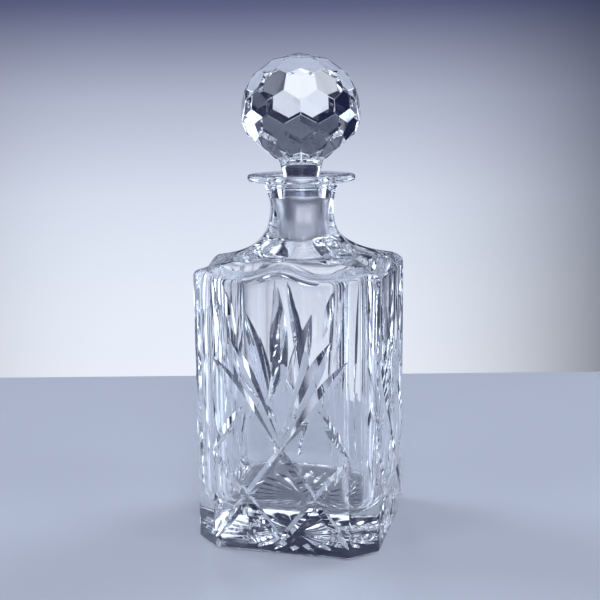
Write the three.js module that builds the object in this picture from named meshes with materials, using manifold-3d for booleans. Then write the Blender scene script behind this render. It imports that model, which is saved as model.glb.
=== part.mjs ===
// A square cut-crystal decanter with a ground-in, faceted ball stopper.
// Millimetres, +Z up. The origin is the centre of the base, on the plane the decanter stands on.
// The faces that look along -Y, +X and -X carry the full cut pattern. The one that looks along
// +Y is plainer, with a few slender leaves.

import * as THREE from "three";
import { mergeVertices } from "three/addons/utils/BufferGeometryUtils.js";
import Module from "manifold-3d";

const wasm = await Module();
wasm.setup();

// ---- Driving dimensions ----

const SIDE = 93; // across two opposite faces
const CORNER = 12.5; // leg of the flat on each upright corner
const HEEL = 1.2; // bevel round the foot
const WALL = 7.5; // glass behind a cut face
const FLOOR_Z = 19; // top of the thick base, inside
const CAVITY_CORNER = 17; // radius of the cavity's upright corners
const CAVITY_FILLET = 8; // radius at the cavity's floor
const CEILING_FLUTE = 0.85; // how much of the shoulder's flutes shows in the cavity's ceiling

const SHOULDER_Z = 141.4; // ridge of the shoulder, where it begins to round over to a face
const ROUNDING_IN = 2.6; // how far the rounding reaches in from the face
const ROUNDING_DOWN = 3; // and down it
const CORNER_FALL = 0.17; // slope of the shoulder's ridges beyond the faces, out to the corners
const FLUTES = 8; // hollow flutes that run down the neck and out over the shoulder
const FLUTE_SHOULDER = 3.6; // their depth at the body's edge
const FLUTE_NECK = 0.7; // and on the neck

const LIP_Z = 183; // top of the pouring lip
const LIP_RADIUS = 27.1;
const MOUTH_RADIUS = 11;
const JOINT_TOP_Z = 172.5; // the ground joint between neck and stopper
const JOINT_END_Z = 148;
const PEG_TOP_RADIUS = 9.4;
const PEG_END_RADIUS = 8.4;
const JOINT_GAP = 0.35;

const BALL_Z = 213; // centre of the stopper's ball
const BALL_BLANK = 34; // radius of the blank that the facets are cut from
const FACET_TURN = 14.5; // degrees that the stopper is turned in the neck
// Each row of facets: latitude in degrees, distance from the ball's centre, how many
// facets go round, and how far the row is turned, as a share of one facet.
const FACET_ROWS = [
  [77, 28.8, 6, 0],
  [54, 29.2, 11, 0.5],
  [30, 28.9, 11, 0],
  [6, 28.9, 11, 0.5],
  [-24, 27.7, 11, 0],
  [-49, 25.4, 11, 0.5],
];
const BALL_BASE = 22; // flat hidden in the collar

const CUT_FACES = [0, 90, 270]; // degrees from the front to each face with the full pattern
const BACK_FACE = 180; // and to the plainer face
const BACK_MEETING_Z = 50; // height at which the plainer face's cuts meet tip to tip
// Those cuts: distance from the centre line where they meet, the other tip, and the width.
const BACK_LEAVES = [
  [5, [19, 130], 6.4],
  [5, [14, 16], 5],
  [27.5, [27.5, 132], 5.2],
  [27.5, [27.5, 14], 5.2],
];
const VEE = THREE.MathUtils.degToRad(56); // half the angle of the cutting wheel's edge
const CUTTER_STANDS_OUT = 1.5; // how far a cutter rises above the glass
const RAYS = 24; // cuts in the star under the base
const RAY_START = 3; // distance from the centre to where a ray starts
const RAY_REACH = 38;
const RAY_WIDTH = 5.6;
const RAY_VEE = THREE.MathUtils.degToRad(70); // the star's wheel is blunter

const LATTICE_X = 17; // half the width of a diamond
const LATTICE_Z = 23.2; // half its height
const CROSSING_Z = 52.4; // where the two longest cuts cross
const FAN_Z = 57; // where the blades spring from

const HALF = SIDE / 2;
const FLAT_END = HALF - CORNER; // half the width of a cut face
const TAU = 2 * Math.PI;

// ---- Solids ----

function solidOf(geometry) {
  const plain = new THREE.BufferGeometry();
  plain.setAttribute("position", geometry.getAttribute("position"));
  plain.setIndex(geometry.index);
  const merged = mergeVertices(plain, 1e-4);
  const solid = new wasm.Manifold(
    new wasm.Mesh({
      numProp: 3,
      vertProperties: merged.attributes.position.array,
      triVerts: new Uint32Array(merged.index.array),
    }),
  );
  if (solid.volume() <= 0) throw new Error("a piece is inside out");
  return solid;
}

function geometryOf(solid) {
  const mesh = solid.getMesh();
  const geometry = new THREE.BufferGeometry();
  geometry.setAttribute(
    "position",
    new THREE.BufferAttribute(mesh.vertProperties, 3),
  );
  geometry.setIndex(new THREE.BufferAttribute(mesh.triVerts, 1));
  geometry.computeVertexNormals();
  return geometry;
}

// A closed skin over rings of equal length, ending in a point at each end.
function loft(start, rings, end) {
  const count = rings[0].length;
  const points = [start, ...rings.flat(), end];
  const last = points.length - 1;
  const index = [];
  for (let i = 0; i < count; i++) {
    const next = (i + 1) % count;
    index.push(0, 1 + next, 1 + i);
    const top = 1 + (rings.length - 1) * count;
    index.push(last, top + i, top + next);
    for (let r = 0; r < rings.length - 1; r++) {
      const low = 1 + r * count;
      const high = low + count;
      index.push(low + i, low + next, high + next);
      index.push(low + i, high + next, high + i);
    }
  }
  const geometry = new THREE.BufferGeometry().setFromPoints(points);
  geometry.setIndex(index);
  return solidOf(geometry);
}

// ---- The body's outline ----

// Angles round a ring. They meet every edge between a face and a corner flat.
const edgeAngle = Math.atan2(FLAT_END, HALF);
const RING_ANGLES = [];
for (let quarter = 0; quarter < 4; quarter++) {
  const turn = (quarter * TAU) / 4;
  for (const share of [-1, -0.75, -0.5, -0.25, 0, 0.25, 0.5, 0.75, 1])
    RING_ANGLES.push(turn + share * edgeAngle);
  RING_ANGLES.push(turn + TAU / 8);
}

// Distance from the axis to a square whose corners are cut off at 45 degrees.
function flatCornered(angle, half, corner) {
  const inOctant = Math.abs(
    THREE.MathUtils.euclideanModulo(angle + TAU / 8, TAU / 4) - TAU / 8,
  );
  const toFace = half / Math.cos(inOctant);
  const toCorner =
    ((2 * half - corner) * Math.SQRT1_2) / Math.cos(TAU / 8 - inOctant);
  return Math.min(toFace, toCorner);
}

// Distance from the axis to a square whose corners are rounded.
function roundCornered(angle, half, radius) {
  const inOctant = Math.abs(
    THREE.MathUtils.euclideanModulo(angle + TAU / 8, TAU / 4) - TAU / 8,
  );
  const toFace = half / Math.cos(inOctant);
  const centre = half - radius;
  if (half * Math.tan(inOctant) <= centre) return toFace;
  const along = centre * (Math.cos(inOctant) + Math.sin(inOctant));
  return along + Math.sqrt(along * along - 2 * centre * centre + radius ** 2);
}

const flute = (angle) => Math.sin((FLUTES / 2) * angle) ** 2;

// Height of the shoulder's ridges over a distance from the axis: a sweep from neck to edge.
const SWEEP = new THREE.CubicBezierCurve(
  new THREE.Vector2(16.4, 165),
  new THREE.Vector2(16.6, 152),
  new THREE.Vector2(24, 144),
  new THREE.Vector2(HALF - ROUNDING_IN, SHOULDER_Z),
);

function ring(radiusAt, heightAt) {
  return RING_ANGLES.map((angle) => {
    const radius = radiusAt(angle);
    const height =
      typeof heightAt === "number" ? heightAt : heightAt(angle, radius);
    return new THREE.Vector3(
      radius * Math.cos(angle),
      radius * Math.sin(angle),
      height,
    );
  });
}

const round = (radius, height) => ring(() => radius, height);

const outline = (inset) => (angle) =>
  flatCornered(angle, HALF - inset, CORNER - inset * (2 - Math.SQRT2));
const edgeHeight = (angle) =>
  SHOULDER_Z -
  CORNER_FALL * (flatCornered(angle, HALF, CORNER) - HALF) -
  FLUTE_SHOULDER * flute(angle);

// A ring of the shoulder: share 0 is at the neck, and share 1 where the rounding begins.
function shoulderRing(share) {
  const onSweep = SWEEP.getPoint(share);
  const stretch = (onSweep.x - SWEEP.v0.x) / (SWEEP.v3.x - SWEEP.v0.x);
  const depth = THREE.MathUtils.lerp(FLUTE_NECK, FLUTE_SHOULDER, stretch);
  return ring(
    (angle) =>
      THREE.MathUtils.lerp(SWEEP.v0.x, outline(ROUNDING_IN)(angle), stretch) -
      FLUTE_NECK * (1 - stretch) * flute(angle),
    (angle, radius) =>
      onSweep.y -
      CORNER_FALL * stretch * Math.max(0, radius - onSweep.x) -
      depth * stretch * flute(angle),
  );
}

// A ring of the rounding between a face and the shoulder: share 0 is on the face.
function roundingRing(share) {
  const turn = (share * Math.PI) / 2;
  return ring(
    outline(ROUNDING_IN * (1 - Math.cos(turn))),
    (angle) => edgeHeight(angle) - ROUNDING_DOWN * (1 - Math.sin(turn)),
  );
}

// ---- The body ----

function outerRings() {
  const wall = [
    ring(outline(HEEL), 0),
    ring(outline(0), HEEL),
    ...[0, 0.35, 0.7].map(roundingRing),
  ];
  const shoulder = [1, 0.86, 0.72, 0.58, 0.42, 0.24, 0].map(shoulderRing);
  const fluted = (radius) => (angle) => radius - FLUTE_NECK * flute(angle);
  const neck = [
    ring(fluted(16.3), 169),
    round(17, 172.5),
    round(18.2, 177),
    round(19.5, 178),
    round(25.5, 179.4),
    round(LIP_RADIUS, 180.6),
    round(LIP_RADIUS, 182.2),
    round(LIP_RADIUS - 0.8, LIP_Z),
    round(MOUTH_RADIUS + 0.6, LIP_Z),
  ];
  return [...wall, ...shoulder, ...neck];
}

function boreRadius(height) {
  return (
    JOINT_GAP +
    THREE.MathUtils.mapLinear(
      height,
      JOINT_END_Z,
      JOINT_TOP_Z,
      PEG_END_RADIUS,
      PEG_TOP_RADIUS,
    )
  );
}

// The cavity's section grows from the round throat to the square with rounded corners.
function cavityRing(share, height) {
  const throat = boreRadius(JOINT_END_Z);
  return ring(
    (angle) =>
      THREE.MathUtils.lerp(
        throat,
        roundCornered(angle, HALF - WALL, CAVITY_CORNER),
        share,
      ),
    (angle) =>
      height - CEILING_FLUTE * FLUTE_SHOULDER * share ** 2 * flute(angle),
  );
}

function innerRings() {
  const bore = [
    round(MOUTH_RADIUS, LIP_Z - 0.6),
    round(boreRadius(JOINT_TOP_Z) + 0.3, JOINT_TOP_Z + 2),
    round(boreRadius(JOINT_TOP_Z), JOINT_TOP_Z),
    round(boreRadius(JOINT_END_Z), JOINT_END_Z),
  ];
  const ceilingAndWall = [
    [0.06, 146.6],
    [0.17, 145.2],
    [0.33, 143.6],
    [0.55, 141.9],
    [0.78, 140.2],
    [0.92, 138.4],
    [0.985, 136.2],
    [1, 133],
  ].map(([share, height]) => cavityRing(share, height));
  const section = (inset) => (angle) =>
    roundCornered(
      angle,
      HALF - WALL - inset,
      Math.max(CAVITY_CORNER - inset, 1),
    );
  const floor = [0, 30, 60, 90].map((degrees) => {
    const turn = THREE.MathUtils.degToRad(degrees);
    return ring(
      section(CAVITY_FILLET * (1 - Math.cos(turn))),
      FLOOR_Z + CAVITY_FILLET * (1 - Math.sin(turn)),
    );
  });
  return [...bore, ...ceilingAndWall, ...floor];
}

// ---- Cuts ----

// Depth of a cut along its length, as a share of its greatest depth.
const leaf = (belly) => {
  const power = Math.log(0.5) / Math.log(belly);
  return (share) => Math.sin(Math.PI * share ** power);
};
const groove = (share) => 1 - (2 * share - 1) ** 6;

// The glass that one vee-shaped cut removes from a face at y = 0, whose outside is -Y.
// The cut runs from one point of the face to another, each given as [x, z].
function cutter({ from, to, width, depth = leaf(0.5), vee = VEE, stations }) {
  const start = new THREE.Vector3(from[0], 0, from[1]);
  const along = new THREE.Vector3(to[0], 0, to[1]).sub(start);
  const across = new THREE.Vector3(0, 1, 0).cross(along).normalize();
  const deepest = width / 2 / Math.tan(vee);
  const rings = stations.map((share) => {
    const sunk = deepest * depth(share);
    const spread = (sunk + CUTTER_STANDS_OUT) * Math.tan(vee);
    const middle = start.clone().addScaledVector(along, share);
    const rim = middle.clone().setY(-CUTTER_STANDS_OUT);
    return [
      middle.clone().setY(sunk),
      rim.clone().addScaledVector(across, -spread),
      rim.clone().addScaledVector(across, spread),
    ];
  });
  const centre = (corners) =>
    corners
      .reduce((sum, corner) => sum.add(corner), new THREE.Vector3())
      .divideScalar(3);
  return loft(centre(rings[0]), rings, centre(rings.at(-1)));
}

const BLADE_STATIONS = [0, 0.14, 0.32, 0.52, 0.7, 0.85, 0.95, 1];
const GROOVE_STATIONS = [0, 0.05, 0.18, 0.82, 0.95, 1];
const RAY_STATIONS = [0, 0.3, 0.65, 0.9, 1];

// Mirror images of one cut, left and right of a face's centre line.
const pair = (cut) => [
  cut,
  {
    ...cut,
    from: [-cut.from[0], cut.from[1]],
    to: [-cut.to[0], cut.to[1]],
  },
];

function faceCuts() {
  const blade = (to, width, from = [0, FAN_Z]) => ({
    from,
    to,
    width,
    depth: leaf(0.62),
    stations: BLADE_STATIONS,
  });
  const drop = (from, to) => ({
    from,
    to,
    width: 4.4,
    stations: BLADE_STATIONS,
  });
  const line = (from, to) => ({
    from,
    to,
    width: 4.6,
    depth: groove,
    stations: GROOVE_STATIONS,
  });
  const below = (steps) => CROSSING_Z - steps * LATTICE_Z;
  return [
    blade([0, 133.5], 9.2),
    ...pair(blade([16.3, 121], 8.4)),
    ...pair(blade([25.3, 107.8], 8)),
    ...pair(blade([33.4, 98.8], 7.4, [-2, CROSSING_Z - 2.8])),
    ...pair(blade([9.4, 109.5], 4.6)),
    ...pair(drop([26, 96], [32.6, 135])),
    ...pair(drop([21.4, 109], [27.4, 133.5])),
    ...pair({
      from: [34.6, 50.6],
      to: [17.6, 75.4],
      width: 5.2,
      stations: BLADE_STATIONS,
    }),
    ...pair(line([-LATTICE_X * 2, below(2) - 1], [3, CROSSING_Z + 4])),
    ...pair(line([-LATTICE_X * 2.1, below(0) - 1], [1.5, below(2) - 1])),
  ];
}

// Slender leaves on the plainer face, tip to tip.
function backCuts() {
  return BACK_LEAVES.flatMap(([x, tip, width]) =>
    pair({
      from: [x, BACK_MEETING_Z],
      to: tip,
      width,
      stations: BLADE_STATIONS,
    }),
  );
}

// One ray of the star, along +X under the base.
function ray() {
  const cut = cutter({
    from: [RAY_START, 0],
    to: [RAY_REACH, 0],
    width: RAY_WIDTH,
    depth: leaf(0.68),
    vee: RAY_VEE,
    stations: RAY_STATIONS,
  });
  return cut.rotate([90, 0, 0]);
}

function makeBody() {
  const blank = loft(
    new THREE.Vector3(0, 0, 0),
    [...outerRings(), ...innerRings()],
    new THREE.Vector3(0, 0, FLOOR_Z),
  );
  const onFace = (cuts) =>
    wasm.Manifold.union(cuts.map(cutter)).translate([0, -HALF, 0]);
  const pattern = onFace(faceCuts());
  const sides = CUT_FACES.map((turn) => pattern.rotate([0, 0, turn]));
  sides.push(onFace(backCuts()).rotate([0, 0, BACK_FACE]));
  const oneRay = ray();
  const star = Array.from({ length: RAYS }, (_, i) =>
    oneRay.rotate([0, 0, ((i + 0.5) * 360) / RAYS]),
  );
  return blank.subtract(wasm.Manifold.union([...sides, ...star]));
}

// ---- The stopper, in its own frame with the ball's centre at the origin ----

function makeBall() {
  let ball = solidOf(new THREE.SphereGeometry(BALL_BLANK, 24, 16));
  const keepInside = (normal, distance) => {
    ball = ball.trimByPlane([-normal.x, -normal.y, -normal.z], -distance);
  };
  for (const [latitude, distance, count, stagger] of FACET_ROWS) {
    const polar = THREE.MathUtils.degToRad(90 - latitude);
    for (let i = 0; i < count; i++) {
      const turn = ((i + stagger) * TAU) / count;
      const normal = new THREE.Vector3(
        Math.sin(polar) * Math.sin(turn),
        -Math.sin(polar) * Math.cos(turn),
        Math.cos(polar),
      );
      keepInside(normal, distance);
    }
  }
  keepInside(new THREE.Vector3(0, 0, -1), BALL_BASE);
  return ball;
}

function makePeg() {
  const profile = [
    [0, JOINT_END_Z - 1.5],
    [PEG_END_RADIUS - 1.2, JOINT_END_Z - 1.5],
    [PEG_END_RADIUS, JOINT_END_Z],
    [PEG_TOP_RADIUS, JOINT_TOP_Z],
    [PEG_TOP_RADIUS - 0.2, JOINT_TOP_Z + 1.5],
    [PEG_TOP_RADIUS, LIP_Z - 1],
    [10, 185.4],
    [10.8, 188.6],
    [12.3, 191.4],
    [14.4, 193.8],
    [17.2, 195.6],
    [19.4, 196.6],
    [0, 199],
  ].map(([radius, height]) => new THREE.Vector2(radius, height - BALL_Z));
  return solidOf(new THREE.LatheGeometry(profile, 36).rotateX(Math.PI / 2));
}

const makeStopper = () => makeBall().add(makePeg());

// ---- The assembly ----

function part(name, solid) {
  const crystal = new THREE.MeshStandardMaterial({
    name: `${name}_crystal`,
    color: 0xeef3fb,
    roughness: 0.02,
    metalness: 0,
    transparent: true,
    opacity: 0.35,
  });
  const mesh = new THREE.Mesh(geometryOf(solid), crystal);
  mesh.name = name;
  return mesh;
}

const decanter = new THREE.Group();
decanter.add(part("decanter_body", makeBody()));

const stopper = part("stopper", makeStopper());
stopper.position.z = BALL_Z;
stopper.rotation.z = THREE.MathUtils.degToRad(FACET_TURN);
decanter.add(stopper);

export default decanter;
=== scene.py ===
import math

import bmesh
import bpy
import numpy as np
from mathutils import Matrix, Vector


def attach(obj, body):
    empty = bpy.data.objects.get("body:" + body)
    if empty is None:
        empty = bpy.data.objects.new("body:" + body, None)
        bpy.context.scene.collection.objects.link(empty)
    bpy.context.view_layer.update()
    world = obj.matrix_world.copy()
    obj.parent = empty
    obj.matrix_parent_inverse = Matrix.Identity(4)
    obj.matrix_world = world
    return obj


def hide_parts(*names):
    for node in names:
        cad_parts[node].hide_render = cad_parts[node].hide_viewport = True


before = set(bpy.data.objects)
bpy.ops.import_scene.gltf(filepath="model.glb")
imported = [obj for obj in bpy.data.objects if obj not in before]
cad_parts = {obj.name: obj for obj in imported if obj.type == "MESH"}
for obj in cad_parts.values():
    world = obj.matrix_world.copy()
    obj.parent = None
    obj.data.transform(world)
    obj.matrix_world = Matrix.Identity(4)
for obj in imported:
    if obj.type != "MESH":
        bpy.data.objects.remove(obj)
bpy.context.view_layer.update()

MM = 0.001
TAU = 2 * math.pi

# ---- Dimensions in millimetres, as in the solid model ----

SIDE = 93.0
CORNER = 12.5
HEEL = 1.2
WALL = 7.5
FLOOR_Z = 19.0
CAVITY_CORNER = 17.0
CAVITY_FILLET = 8.0
CAVITY_WALL_TOP_Z = 133.0
CEILING_FLUTE = 0.85
SHOULDER_Z = 141.4
ROUNDING_IN = 2.6
ROUNDING_DOWN = 3.0
CORNER_FALL = 0.17
FLUTES = 8
FLUTE_SHOULDER = 3.6
FLUTE_NECK = 0.7
FLUTES_END_Z = 173.0
FLUTES_FADE = 8.0
LIP_Z = 183.0
LIP_RADIUS = 27.1
MOUTH_RADIUS = 11.0
JOINT_TOP_Z = 172.5
JOINT_END_Z = 148.0
PEG_TOP_RADIUS = 9.4
PEG_END_RADIUS = 8.4
JOINT_GAP = 0.35
BALL_Z = 213.0
FACET_TURN = 14.5
# Rows of facets: latitude in degrees, distance from the ball's centre, how many go round, and
# how far the row is turned, as a share of one facet.
FACET_ROWS = [
    (77, 28.8, 6, 0),
    (54, 29.2, 11, 0.5),
    (30, 28.9, 11, 0),
    (6, 28.9, 11, 0.5),
    (-24, 27.7, 11, 0),
    (-49, 25.4, 11, 0.5),
]
BALL_BASE = 22.0
COLLAR_RADIUS = 19.4
COLLAR_ROOT_Z = 199.0
BALL_ALONE_Z = 197.0
PEG_SIDES = 128
FACET_BEVEL = 0.14
POLISH = 0.16
VEE = math.radians(56)
CUTTER_STANDS_OUT = 1.5
RAYS = 24
RAY_START = 3.0
RAY_REACH = 38.0
RAY_WIDTH = 5.6
RAY_VEE = math.radians(70)
HALF = SIDE / 2
FLAT_END = HALF - CORNER
LATTICE_X = 17.0
LATTICE_Z = 23.2
CROSSING_Z = 52.4
FAN_Z = 57.0
BACK_FACE = 2
BACK_MEETING_Z = 50.0
# Cuts on the plainer back face: where they meet along X, the other tip, and the width.
BACK_LEAVES = [
    (5.0, (19.0, 130.0), 6.4),
    (5.0, (14.0, 16.0), 5.0),
    (27.5, (27.5, 132.0), 5.2),
    (27.5, (27.5, 14.0), 5.2),
]


# ---- Meshes ----


def new_object(name, points, faces):
    mesh = bpy.data.meshes.new(name)
    mesh.from_pydata((np.asarray(points, float) * MM).tolist(), [], faces)
    mesh.update()
    obj = bpy.data.objects.new(name, mesh)
    bpy.context.scene.collection.objects.link(obj)
    return obj


def loft(name, start, rings, end):
    """A closed skin over rings of equal length, with a point at each end."""
    rings = [np.asarray(ring, float) for ring in rings]
    count = len(rings[0])
    points = np.vstack([[start], *rings, [end]])
    last = len(points) - 1
    faces = []
    for i in range(count):
        nxt = (i + 1) % count
        faces.append((0, 1 + nxt, 1 + i))
        top = 1 + (len(rings) - 1) * count
        faces.append((last, top + i, top + nxt))
        for r in range(len(rings) - 1):
            low = 1 + r * count
            high = low + count
            faces.append((low + i, low + nxt, high + nxt, high + i))
    return new_object(name, points, faces)


def combine(target, others, operation):
    """Joins or cuts closed meshes, and removes the ones used up."""
    for other in others:
        modifier = target.modifiers.new("combine", "BOOLEAN")
        modifier.operation = operation
        modifier.solver = "MANIFOLD"
        modifier.object = other
    depsgraph = bpy.context.evaluated_depsgraph_get()
    result = bpy.data.meshes.new_from_object(target.evaluated_get(depsgraph))
    target.modifiers.clear()
    target.data = result
    for other in others:
        bpy.data.objects.remove(other)
    return target


# ---- The body's outline ----

EDGE_ANGLE = math.atan2(FLAT_END, HALF)


def ring_angles():
    on_face = np.linspace(-EDGE_ANGLE, EDGE_ANGLE, 49)
    on_corner = np.linspace(EDGE_ANGLE, TAU / 4 - EDGE_ANGLE, 13)[1:-1]
    quarter = np.concatenate([on_face, on_corner])
    return np.concatenate([quarter + k * TAU / 4 for k in range(4)])


ANGLES = ring_angles()
IN_OCTANT = np.abs((ANGLES + TAU / 8) % (TAU / 4) - TAU / 8)
FLUTE = np.sin(FLUTES / 2 * ANGLES) ** 2


def flat_cornered(half, corner):
    to_face = half / np.cos(IN_OCTANT)
    to_corner = (2 * half - corner) * math.sqrt(0.5) / np.cos(TAU / 8 - IN_OCTANT)
    return np.minimum(to_face, to_corner)


def round_cornered(half, radius):
    to_face = half / np.cos(IN_OCTANT)
    centre = half - radius
    along = centre * (np.cos(IN_OCTANT) + np.sin(IN_OCTANT))
    to_arc = along + np.sqrt(np.maximum(along**2 - 2 * centre**2 + radius**2, 0))
    return np.where(half * np.tan(IN_OCTANT) <= centre, to_face, to_arc)


def ring(radius, height):
    radius = np.broadcast_to(radius, ANGLES.shape)
    height = np.broadcast_to(height, ANGLES.shape)
    return np.column_stack([radius * np.cos(ANGLES), radius * np.sin(ANGLES), height])


def outline(inset):
    return flat_cornered(HALF - inset, CORNER - inset * (2 - math.sqrt(2)))


EDGE_HEIGHT = (
    SHOULDER_Z - CORNER_FALL * (flat_cornered(HALF, CORNER) - HALF) - FLUTE_SHOULDER * FLUTE
)
# The shoulder's ridges: a cubic sweep of (radius, height) from the neck to the rounding.
SWEEP = np.array([[16.4, 165.0], [16.6, 152.0], [24.0, 144.0], [HALF - ROUNDING_IN, SHOULDER_Z]])


def on_sweep(share):
    a, b, c, d = SWEEP
    rest = 1 - share
    return a * rest**3 + 3 * b * rest**2 * share + 3 * c * rest * share**2 + d * share**3


def shoulder_ring(share):
    x, y = on_sweep(share)
    stretch = (x - SWEEP[0, 0]) / (SWEEP[3, 0] - SWEEP[0, 0])
    radius = SWEEP[0, 0] + (outline(ROUNDING_IN) - SWEEP[0, 0]) * stretch
    radius = radius - FLUTE_NECK * (1 - stretch) * FLUTE
    depth = FLUTE_NECK + (FLUTE_SHOULDER - FLUTE_NECK) * stretch
    fall = CORNER_FALL * stretch * np.maximum(0, radius - x)
    return ring(radius, y - fall - depth * stretch * FLUTE)


def rounding_ring(share):
    turn = share * TAU / 4
    return ring(
        outline(ROUNDING_IN * (1 - math.cos(turn))),
        EDGE_HEIGHT - ROUNDING_DOWN * (1 - math.sin(turn)),
    )


def smooth_profile(points, steps):
    """A Catmull-Rom curve through (radius, height) points."""
    points = np.asarray(points, float)
    padded = np.vstack([2 * points[0] - points[1], points, 2 * points[-1] - points[-2]])
    result = []
    for i in range(1, len(padded) - 2):
        a, b, c, d = padded[i - 1 : i + 3]
        for t in np.linspace(0, 1, steps, endpoint=False):
            linear = (c - a) * t
            square = (2 * a - 5 * b + 4 * c - d) * t**2
            cubic = (3 * b - a - 3 * c + d) * t**3
            result.append(0.5 * (2 * b + linear + square + cubic))
    result.append(points[-1])
    return result


def outer_rings():
    wall = [
        ring(outline(HEEL * (1 - math.sin(t))), HEEL * (1 - math.cos(t)))
        for t in np.linspace(0, TAU / 4, 6)
    ]
    wall.append(ring(outline(0), EDGE_HEIGHT - ROUNDING_DOWN - 0.4))
    rounding = [rounding_ring(share) for share in np.linspace(0, 1, 10)[:-1]]
    shoulder = [shoulder_ring(share) for share in np.linspace(1, 0, 40)]
    neck = []
    neck_profile = [(16.4, 165), (16.3, 169), (17, 172.8), (17.9, 176), (18.6, 177.6)]
    for radius, height in smooth_profile(neck_profile, 5)[1:]:
        fade = min(1, max(0, (FLUTES_END_Z - height) / FLUTES_FADE))
        neck.append(ring(radius - FLUTE_NECK * FLUTE * fade, height))
    lip = smooth_profile([(18.6, 177.6), (21.5, 178.6), (25.2, 179.4), (26.6, 180)], 4)[1:]
    rim_profile = [
        (26.6, 180),
        (LIP_RADIUS, 180.9),
        (LIP_RADIUS, 182),
        (26.7, 182.7),
        (25.9, LIP_Z),
    ]
    rim = smooth_profile(rim_profile, 4)[1:]
    top = [(20, LIP_Z), (MOUTH_RADIUS + 1, LIP_Z), (MOUTH_RADIUS + 0.3, LIP_Z - 0.2)]
    return wall + rounding + shoulder + neck + [ring(r, z) for r, z in lip + rim + top]


def bore_radius(height):
    share = (height - JOINT_END_Z) / (JOINT_TOP_Z - JOINT_END_Z)
    return JOINT_GAP + PEG_END_RADIUS + (PEG_TOP_RADIUS - PEG_END_RADIUS) * share


def cavity_ring(share, height):
    throat = bore_radius(JOINT_END_Z)
    radius = throat + (round_cornered(HALF - WALL, CAVITY_CORNER) - throat) * share
    return ring(radius, height - CEILING_FLUTE * FLUTE_SHOULDER * share**2 * FLUTE)


def inner_rings():
    bore = [
        (MOUTH_RADIUS, LIP_Z - 0.6),
        (MOUTH_RADIUS - 0.4, LIP_Z - 3),
        (bore_radius(JOINT_TOP_Z) + 0.3, JOINT_TOP_Z + 2),
        (bore_radius(JOINT_TOP_Z), JOINT_TOP_Z),
    ]
    bore += [(bore_radius(z), z) for z in np.linspace(JOINT_TOP_Z, JOINT_END_Z, 6)[1:]]
    # Share of the way from the throat's section to the wall's, and height.
    ceiling_profile = [
        (0.0, 147.6),
        (0.06, 146.6),
        (0.17, 145.2),
        (0.33, 143.6),
        (0.55, 141.9),
        (0.78, 140.2),
        (0.92, 138.4),
        (0.985, 136.2),
    ]
    ceiling = smooth_profile(ceiling_profile, 5)[1:]
    fillet = [
        (CAVITY_FILLET * (1 - math.cos(t)), FLOOR_Z + CAVITY_FILLET * (1 - math.sin(t)))
        for t in np.linspace(0, TAU / 4, 12)
    ]
    rings = [ring(r, z) for r, z in bore]
    rings += [cavity_ring(share, z) for share, z in ceiling]
    rings.append(cavity_ring(1, CAVITY_WALL_TOP_Z))
    for inset, z in fillet:
        corner = max(CAVITY_CORNER - inset, 1)
        rings.append(ring(round_cornered(HALF - WALL - inset, corner), z))
    rings.append(ring(round_cornered(20, 10), FLOOR_Z))
    return rings


# ---- Cuts ----


def leaf(belly):
    """Depth along a cut that is deepest a share, belly, of the way along it."""
    power = math.log(0.5) / math.log(belly)
    return lambda share: math.sin(math.pi * min(max(share, 0), 1) ** power)


def groove(share):
    """Depth along a cut that is even, but for its two ends."""
    return 1 - (2 * share - 1) ** 6


def cutter(start, end, width, depth=leaf(0.5), steps=22, vee=VEE):
    """The glass a vee-edged wheel removes from a face at y = 0 that looks along -Y."""
    start = Vector((start[0], 0, start[1]))
    along = Vector((end[0], 0, end[1])) - start
    across = Vector((0, 1, 0)).cross(along).normalized()
    deepest = width / 2 / math.tan(vee)
    rings = []
    for step in range(steps + 1):
        share = 0.5 - 0.5 * math.cos(math.pi * step / steps)
        sunk = deepest * depth(share)
        spread = (sunk + CUTTER_STANDS_OUT) * math.tan(vee)
        middle = start + along * share
        rim = middle + Vector((0, -CUTTER_STANDS_OUT, 0))
        root = middle + Vector((0, sunk, 0))
        rings.append([root, rim - across * spread, rim + across * spread])
    first = sum(rings[0], Vector()) / 3
    final = sum(rings[-1], Vector()) / 3
    return loft("cutter", first, rings, final)


def mirrored(cuts):
    """The cuts, followed by their mirror images across the face's centre line."""

    def across(point):
        return (-point[0], point[1])

    return cuts + [dict(cut, start=across(cut["start"]), end=across(cut["end"])) for cut in cuts]


def face_cuts():
    """A fan of blades over a lattice of grooves, with slender leaves either side."""

    def blade(end, width, start=(0, FAN_Z)):
        return {"start": start, "end": end, "width": width, "depth": leaf(0.62)}

    def line(start, end):
        return {"start": start, "end": end, "width": 4.6, "depth": groove}

    def below(steps):
        return CROSSING_Z - steps * LATTICE_Z

    return [blade((0, 133.5), 9.2)] + mirrored(
        [
            blade((16.3, 121), 8.4),
            blade((25.3, 107.8), 8),
            blade((33.4, 98.8), 7.4, start=(-2, CROSSING_Z - 2.8)),
            blade((9.4, 109.5), 4.6),
            {"start": (26, 96), "end": (32.6, 135), "width": 4.4},
            {"start": (21.4, 109), "end": (27.4, 133.5), "width": 4.4},
            {"start": (34.6, 50.6), "end": (17.6, 75.4), "width": 5.2},
            line((-LATTICE_X * 2, below(2) - 1), (3, CROSSING_Z + 4)),
            line((-LATTICE_X * 2.1, below(0) - 1), (1.5, below(2) - 1)),
        ]
    )


def back_cuts():
    """Slender leaves, tip to tip."""
    leaves = [
        {"start": (x, BACK_MEETING_Z), "end": end, "width": width}
        for x, end, width in BACK_LEAVES
    ]
    return mirrored(leaves)


def placed(cut, matrix):
    tool = cutter(**cut)
    tool.data.transform(matrix)
    return tool


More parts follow.
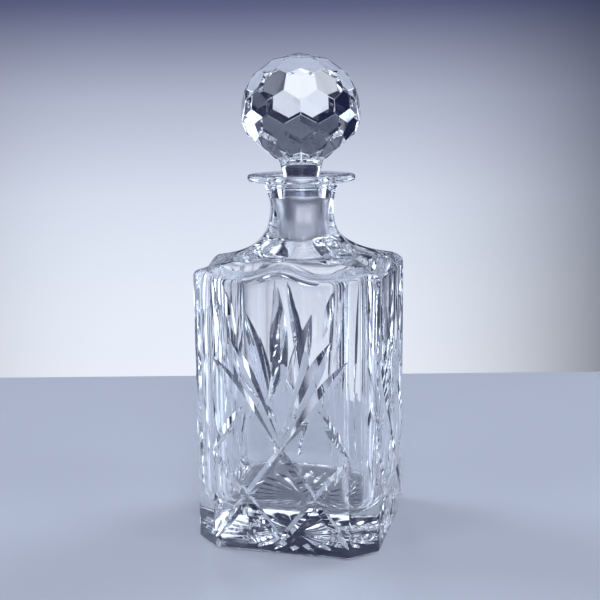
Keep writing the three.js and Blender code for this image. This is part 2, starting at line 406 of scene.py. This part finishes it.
def all_cutters():
    tools = []
    for quarter in range(4):
        turn = Matrix.Rotation(quarter * TAU / 4, 4, "Z")
        to_face = turn @ Matrix.Translation((0, -HALF * MM, 0))
        cuts = back_cuts() if quarter == BACK_FACE else face_cuts()
        tools += [placed(cut, to_face) for cut in cuts]
    ray = {
        "start": (RAY_START, 0),
        "end": (RAY_REACH, 0),
        "width": RAY_WIDTH,
        "depth": leaf(0.68),
        "vee": RAY_VEE,
    }
    for i in range(RAYS):
        turn = Matrix.Rotation((i + 0.5) * TAU / RAYS, 4, "Z")
        tools.append(placed(ray, turn @ Matrix.Rotation(TAU / 4, 4, "X")))
    return tools


def make_body():
    body = loft("decanter_crystal", (0, 0, 0), outer_rings() + inner_rings(), (0, 0, FLOOR_Z))
    return combine(body, all_cutters(), "DIFFERENCE")


# ---- The stopper ----


def facet_planes():
    planes = []
    for latitude, distance, count, stagger in FACET_ROWS:
        polar = math.radians(90 - latitude)
        for i in range(count):
            turn = (i + stagger) * TAU / count + math.radians(FACET_TURN)
            across = math.sin(polar)
            normal = (across * math.sin(turn), -across * math.cos(turn), math.cos(polar))
            planes.append((*normal, distance))
    planes.append((0, 0, -1, BALL_BASE))
    return np.array(planes)


def make_ball():
    """The solid inside every facet's plane. Three planes meet at each of its corners."""
    planes = facet_planes()
    normals = planes[:, :3]
    distances = planes[:, 3]
    corners = []
    count = len(planes)
    for i in range(count):
        near = [j for j in range(i + 1, count) if normals[i] @ normals[j] > 0.3]
        for a in range(len(near)):
            for b in range(a + 1, len(near)):
                trio = [i, near[a], near[b]]
                if abs(np.linalg.det(normals[trio])) < 1e-4:
                    continue
                corner = np.linalg.solve(normals[trio], distances[trio])
                if np.all(normals @ corner <= distances + 1e-6):
                    corners.append(corner + (0, 0, BALL_Z))
    ball = new_object("ball", corners, [])
    work = bmesh.new()
    work.from_mesh(ball.data)
    bmesh.ops.remove_doubles(work, verts=work.verts, dist=1e-6)
    bmesh.ops.convex_hull(work, input=work.verts)
    flat = math.radians(1)
    bmesh.ops.dissolve_limit(work, angle_limit=flat, verts=work.verts, edges=work.edges)
    bmesh.ops.recalc_face_normals(work, faces=work.faces)
    bmesh.ops.bevel(
        work,
        geom=work.edges,
        offset=FACET_BEVEL * MM,
        segments=1,
        affect="EDGES",
        profile=0.5,
    )
    work.to_mesh(ball.data)
    work.free()
    return ball


def make_peg():
    collar_profile = [
        (9.2, 180),
        (9.4, 182.6),
        (10, 185.4),
        (10.8, 188.6),
        (12.3, 191.4),
        (14.4, 193.8),
        (17.2, 195.6),
        (COLLAR_RADIUS, 196.6),
    ]
    collar = smooth_profile(collar_profile, 6)
    plug = [
        (PEG_END_RADIUS - 1.2, JOINT_END_Z - 1.5),
        (PEG_END_RADIUS - 0.5, JOINT_END_Z - 1.2),
        (PEG_END_RADIUS, JOINT_END_Z),
    ]
    for t in (0.25, 0.5, 0.75, 1):
        radius = PEG_END_RADIUS + (PEG_TOP_RADIUS - PEG_END_RADIUS) * t
        plug.append((radius, JOINT_END_Z + (JOINT_TOP_Z - JOINT_END_Z) * t))
    plug += [(PEG_TOP_RADIUS - 0.3, JOINT_TOP_Z + 0.8), (PEG_TOP_RADIUS - 0.3, JOINT_TOP_Z + 3)]
    profile = plug + [tuple(p) for p in collar]
    turns = np.arange(PEG_SIDES) * TAU / PEG_SIDES
    rings = [
        np.column_stack([r * np.cos(turns), r * np.sin(turns), np.full(PEG_SIDES, z)])
        for r, z in profile
    ]
    inside_ball = (0, 0, COLLAR_ROOT_Z)
    return loft("stopper_crystal", (0, 0, JOINT_END_Z - 1.5), rings, inside_ball)


def make_stopper():
    return combine(make_peg(), [make_ball()], "UNION")


# ---- Materials ----

CRYSTAL_IOR = 1.545
SHARP_EDGE = math.radians(18)
POLISHED_EDGE = math.radians(24)
# Ripples per metre along X, Y and Z, strength of the bump, and its height in metres.
POLISH_RIPPLE = ((90, 90, 60), 0.12, 0.0004)
GRINDING_RIPPLE = ((120, 120, 2600), 0.35, 0.0001)


def add_ripple(material, scale, strength, distance):
    """Turns the material's normal by a stretched noise."""
    nodes = material.node_tree.nodes
    links = material.node_tree.links
    place = nodes.new("ShaderNodeTexCoord")
    stretch = nodes.new("ShaderNodeMapping")
    stretch.inputs["Scale"].default_value = scale
    noise = nodes.new("ShaderNodeTexNoise")
    noise.inputs["Scale"].default_value = 1.0
    noise.inputs["Detail"].default_value = 3.0
    bump = nodes.new("ShaderNodeBump")
    bump.inputs["Strength"].default_value = strength
    bump.inputs["Distance"].default_value = distance
    links.new(place.outputs["Object"], stretch.inputs["Vector"])
    links.new(stretch.outputs["Vector"], noise.inputs["Vector"])
    links.new(noise.outputs["Fac"], bump.inputs["Height"])
    links.new(bump.outputs["Normal"], nodes["Principled BSDF"].inputs["Normal"])


def crystal_material():
    """Lead crystal, with the faint waviness that acid polishing leaves."""
    material = bpy.data.materials.new("crystal")
    material.use_nodes = True
    shader = material.node_tree.nodes["Principled BSDF"]
    shader.inputs["Base Color"].default_value = (0.982, 0.989, 1.0, 1)
    shader.inputs["Roughness"].default_value = 0.0
    shader.inputs["IOR"].default_value = CRYSTAL_IOR
    shader.inputs["Transmission Weight"].default_value = 1.0
    add_ripple(material, *POLISH_RIPPLE)
    return material


def ground_material(name, ior, transmission):
    """Ground glass. Two ground faces that touch bend light less than a polished face."""
    material = bpy.data.materials.new(name)
    material.use_nodes = True
    shader = material.node_tree.nodes["Principled BSDF"]
    shader.inputs["Base Color"].default_value = (0.99, 0.99, 1.0, 1)
    shader.inputs["Roughness"].default_value = 0.5
    shader.inputs["IOR"].default_value = ior
    shader.inputs["Transmission Weight"].default_value = transmission
    add_ripple(material, *GRINDING_RIPPLE)
    return material


def polish_edges(obj):
    """Acid polish leaves every cut edge a little round."""
    modifier = obj.modifiers.new("polish", "BEVEL")
    modifier.width = POLISH * MM
    modifier.segments = 1
    modifier.limit_method = "ANGLE"
    modifier.angle_limit = POLISHED_EDGE
    modifier.use_clamp_overlap = True
    depsgraph = bpy.context.evaluated_depsgraph_get()
    result = bpy.data.meshes.new_from_object(obj.evaluated_get(depsgraph))
    obj.modifiers.clear()
    obj.data = result


def finish_glass(obj, materials, is_ground, is_faceted):
    """Gives the ground zone its own material, keeps cut edges crisp and facets flat."""
    obj.data.materials.clear()
    for material in materials:
        obj.data.materials.append(material)
    for face in obj.data.polygons:
        face.material_index = 1 if is_ground(face.center / MM) else 0
    obj.data.shade_smooth()
    obj.data.set_sharp_from_angle(angle=SHARP_EDGE)
    for face in obj.data.polygons:
        if is_faceted(face.center / MM):
            face.use_smooth = False


# ---- The object ----

crystal = crystal_material()
ground_bore = ground_material("ground_bore", ior=1.1, transmission=1.0)
ground_plug = ground_material("ground_plug", ior=1.2, transmission=0.9)


def in_joint(point):
    return JOINT_END_Z < point.z < JOINT_TOP_Z


def off_axis(point):
    return math.hypot(point.x, point.y)


body = make_body()
polish_edges(body)
finish_glass(
    body,
    [crystal, ground_bore],
    is_ground=lambda c: in_joint(c) and off_axis(c) < PEG_TOP_RADIUS + 1,
    is_faceted=lambda c: False,
)
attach(body, "decanter")
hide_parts("decanter_body")

stopper = make_stopper()
finish_glass(
    stopper,
    [crystal, ground_plug],
    is_ground=lambda c: in_joint(c) and off_axis(c) > PEG_END_RADIUS - 0.5,
    is_faceted=lambda c: c.z > BALL_ALONE_Z or off_axis(c) > COLLAR_RADIUS,
)
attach(stopper, "stopper")
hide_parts("stopper")

# ---- Camera ----

# Distances are in millimetres, from the centre of the base. The offset is to the right.
CAMERA_YAW = math.radians(14.48)
CAMERA_PITCH = math.radians(10.49)
CAMERA_ROLL = math.radians(-0.58)
CAMERA_DISTANCE = 554.47
CAMERA_HEIGHT = 221.29
CAMERA_OFFSET = -1.26
CAMERA_LENS = 65.94


def add_camera():
    data = bpy.data.cameras.new("camera")
    data.lens = CAMERA_LENS
    data.sensor_width = 36
    data.clip_start = 0.01
    camera = bpy.data.objects.new("camera", data)
    bpy.context.scene.collection.objects.link(camera)
    right = Vector((math.cos(CAMERA_YAW), math.sin(CAMERA_YAW), 0))
    ahead = Vector((-math.sin(CAMERA_YAW), math.cos(CAMERA_YAW), 0))
    up = Vector((0, 0, 1))
    place = right * CAMERA_OFFSET - ahead * CAMERA_DISTANCE + up * CAMERA_HEIGHT
    forward = ahead * math.cos(CAMERA_PITCH) - up * math.sin(CAMERA_PITCH)
    above = ahead * math.sin(CAMERA_PITCH) + up * math.cos(CAMERA_PITCH)
    x_axis = right * math.cos(CAMERA_ROLL) + above * math.sin(CAMERA_ROLL)
    y_axis = above * math.cos(CAMERA_ROLL) - right * math.sin(CAMERA_ROLL)
    rotation = Matrix((x_axis, y_axis, -forward)).transposed().to_4x4()
    camera.matrix_world = Matrix.Translation(place * MM) @ rotation
    bpy.context.scene.camera = camera


# ---- Floor and light ----


def plain_material(name, colour, roughness):
    material = bpy.data.materials.new(name)
    material.use_nodes = True
    shader = material.node_tree.nodes["Principled BSDF"]
    shader.inputs["Base Color"].default_value = (*colour, 1)
    shader.inputs["Roughness"].default_value = roughness
    return material


FLOOR_COLOUR = (0.84, 0.85, 0.90)
FLOOR_X = (-900, 900)
FLOOR_Y = (-1100, 310)
FLOOR_BELOW = -0.3  # so that the foot and the floor don't share a plane


def add_floor():
    (left, right), (front, back) = FLOOR_X, FLOOR_Y
    corners = [(left, front), (right, front), (right, back), (left, back)]
    floor = new_object("floor", [(x, y, FLOOR_BELOW) for x, y in corners], [(0, 1, 2, 3)])
    floor.data.materials.append(plain_material("floor", FLOOR_COLOUR, 0.3))
    floor.data.transform(Matrix.Rotation(CAMERA_YAW, 4, "Z"))


# The studio's lights. Each has its colours by elevation in degrees, and a strength. All but the
# last come in lobes round the object: lobe gives where, along a cosine from -1 to 1, a light
# starts and where it is full.
DARK = (0.0, 0.0, 0.0)
SOFT_BLUE = (0.75, 0.84, 1.0)
BACKDROP = {
    "strength": 1.02,
    "lobe": (0.25, 1.0),
    "stops": [
        (-14, (0.80, 0.84, 0.90)),
        (-10, (0.76, 0.81, 0.88)),
        (-5, (0.66, 0.71, 0.80)),
        (0, (0.42, 0.45, 0.55)),
        (4.6, (0.09, 0.10, 0.17)),
        (9, DARK),
    ],
}
SIDE_LIGHT = {
    "strength": 2.8,
    "lobe": (0.68, 0.92),
    "stops": [(18, (0.71, 0.82, 1.0)), (25, DARK)],
}
OVERHEAD = {
    "strength": 2.2,
    "lobe": (0.5, 0.8),
    "stops": [
        (18, DARK),
        (25, SOFT_BLUE),
        (52, SOFT_BLUE),
        (64, (0.30, 0.32, 0.36)),
        (90, (0.30, 0.32, 0.36)),
    ],
}
HIGH_BACK = {
    "strength": 2.2,
    "lobe": (0.85, 0.98),
    "stops": [(30, DARK), (36, SOFT_BLUE), (52, SOFT_BLUE), (62, DARK)],
}
ZENITH = {
    "strength": 0.9,
    "stops": [(62, DARK), (72, (0.85, 0.91, 1.0))],
}
AMBIENT = (0.012, 0.016, 0.048, 1)
BACKDROPS = 3
BACKDROP_TURN = math.radians(3.5)  # from straight behind the object


def add_world():
    """Pale backdrops in three directions, with soft lights between them and overhead."""
    world = bpy.data.worlds.new("studio")
    bpy.context.scene.world = world
    world.use_nodes = True
    nodes = world.node_tree.nodes
    links = world.node_tree.links

    def maths(operation, *inputs):
        node = nodes.new("ShaderNodeMath")
        node.operation = operation
        for i, value in enumerate(inputs):
            if isinstance(value, (int, float)):
                node.inputs[i].default_value = value
            else:
                links.new(value, node.inputs[i])
        return node.outputs["Value"]

    def smooth_step(value, low, high):
        node = nodes.new("ShaderNodeMapRange")
        node.interpolation_type = "SMOOTHSTEP"
        links.new(value, node.inputs["Value"])
        node.inputs["From Min"].default_value = low
        node.inputs["From Max"].default_value = high
        return node.outputs["Result"]

    def light(kind, share):
        strength = maths("MULTIPLY", share, kind["strength"])
        stops = kind["stops"]
        ramp = nodes.new("ShaderNodeValToRGB")
        links.new(height, ramp.inputs["Fac"])
        while len(ramp.color_ramp.elements) < len(stops):
            ramp.color_ramp.elements.new(0.5)
        for stop, (elevation, colour) in zip(ramp.color_ramp.elements, stops):
            stop.position = 0.5 + 0.5 * math.sin(math.radians(elevation))
            stop.color = (*colour, 1)
        background = nodes.new("ShaderNodeBackground")
        links.new(ramp.outputs["Color"], background.inputs["Color"])
        links.new(strength, background.inputs["Strength"])
        return background

    direction = nodes.new("ShaderNodeTexCoord")
    split = nodes.new("ShaderNodeSeparateXYZ")
    links.new(direction.outputs["Generated"], split.inputs["Vector"])
    height = maths("MULTIPLY_ADD", split.outputs["Z"], 0.5, 0.5)
    azimuth = maths("ARCTAN2", split.outputs["Y"], split.outputs["X"])
    turned = maths("SUBTRACT", azimuth, TAU / 4 + CAMERA_YAW + BACKDROP_TURN)
    wave = maths("COSINE", maths("MULTIPLY", turned, BACKDROPS))
    aside = maths("MULTIPLY", wave, -1)
    total = nodes["Background"]
    total.inputs["Color"].default_value = AMBIENT
    for part in (
        light(BACKDROP, smooth_step(wave, *BACKDROP["lobe"])),
        light(SIDE_LIGHT, smooth_step(aside, *SIDE_LIGHT["lobe"])),
        light(OVERHEAD, smooth_step(aside, *OVERHEAD["lobe"])),
        light(HIGH_BACK, smooth_step(wave, *HIGH_BACK["lobe"])),
        light(ZENITH, 1.0),
    ):
        both = nodes.new("ShaderNodeAddShader")
        links.new(total.outputs[0], both.inputs[0])
        links.new(part.outputs[0], both.inputs[1])
        total = both
    links.new(total.outputs[0], nodes["World Output"].inputs["Surface"])


add_camera()
add_floor()
add_world()

scene = bpy.context.scene
scene.cycles.max_bounces = 32
scene.cycles.transmission_bounces = 32
scene.cycles.glossy_bounces = 16
scene.cycles.transparent_max_bounces = 16
scene.view_settings.view_transform = "Standard"
